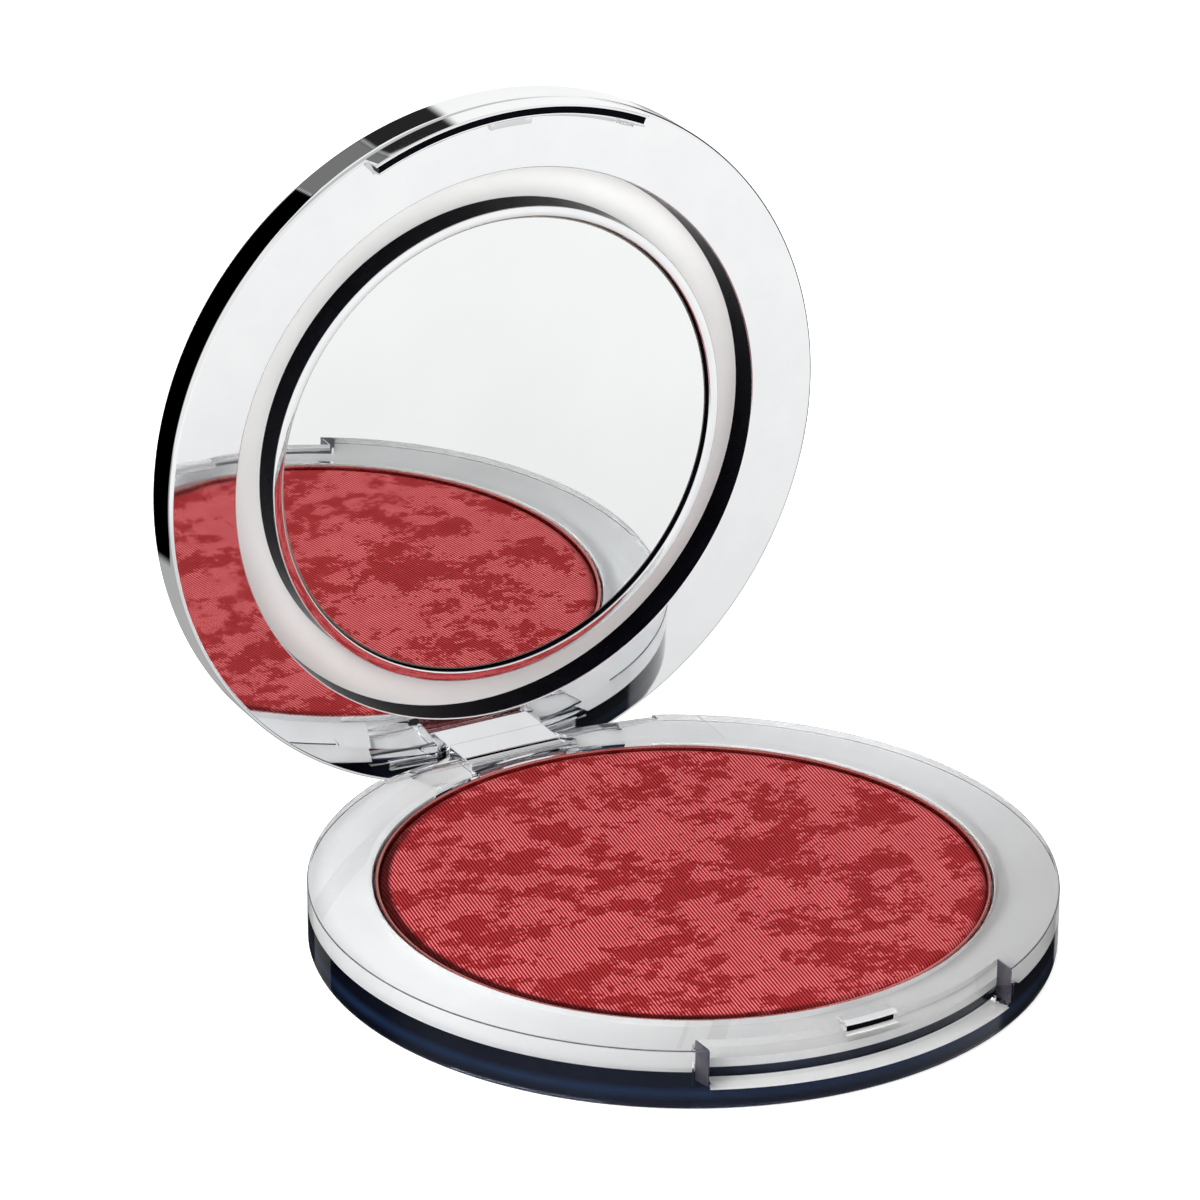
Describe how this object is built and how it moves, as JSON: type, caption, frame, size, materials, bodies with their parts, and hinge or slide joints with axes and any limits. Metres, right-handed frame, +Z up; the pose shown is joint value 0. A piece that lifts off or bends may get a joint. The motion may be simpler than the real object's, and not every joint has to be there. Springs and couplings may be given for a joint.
{
  "type": "powder compact",
  "caption": "Round hinged compact, open: pressed powder pan in a clear-topped base, mirror in a metallised lid.",
  "frame": {"origin": "centre of the base's underside, on the table", "axes": "+Z up out of the base, +Y towards the hinge, -Y towards the thumb notch, X along the hinge axis"},
  "size_m": [0.0724, 0.077, 0.0736],
  "materials": {
    "dark_shell": "glossy, very dark navy",
    "clear_plastic": "clear, polished",
    "silver_tray": "satin silver",
    "adhesive": "matte",
    "pan_metal": "satin",
    "powder": "matte pressed powder, two tones, finely ribbed",
    "pin_steel": "bright",
    "label": "matte, blank",
    "lid_metallised": "mirror-bright metallised plastic",
    "satin_liner": "satin pale silver",
    "tape": "matte",
    "mirror": "silvered glass"
  },
  "bodies": {
    "base": {"base_shell": "dark_shell", "base_cover": "clear_plastic", "inner_tray": "silver_tray", "pan_adhesive": "adhesive", "powder_pan": "pan_metal", "pressed_powder": "powder", "hinge_pin": "pin_steel", "bottom_label": "label"},
    "lid": {"lid_frame": "lid_metallised", "lid_liner": "satin_liner", "lid_shell": "lid_metallised", "mirror_bezel": "lid_metallised", "mirror_tape": "tape", "mirror_glass": "mirror"}
  },
  "joints": [
    {"name": "lid_hinge", "type": "hinge", "parent": "base", "child": "lid", "pos_m": [0, 0.0339, 0.0033], "axis": [-1, 0, 0], "range_deg": [-88.4, 0]}
  ]
}
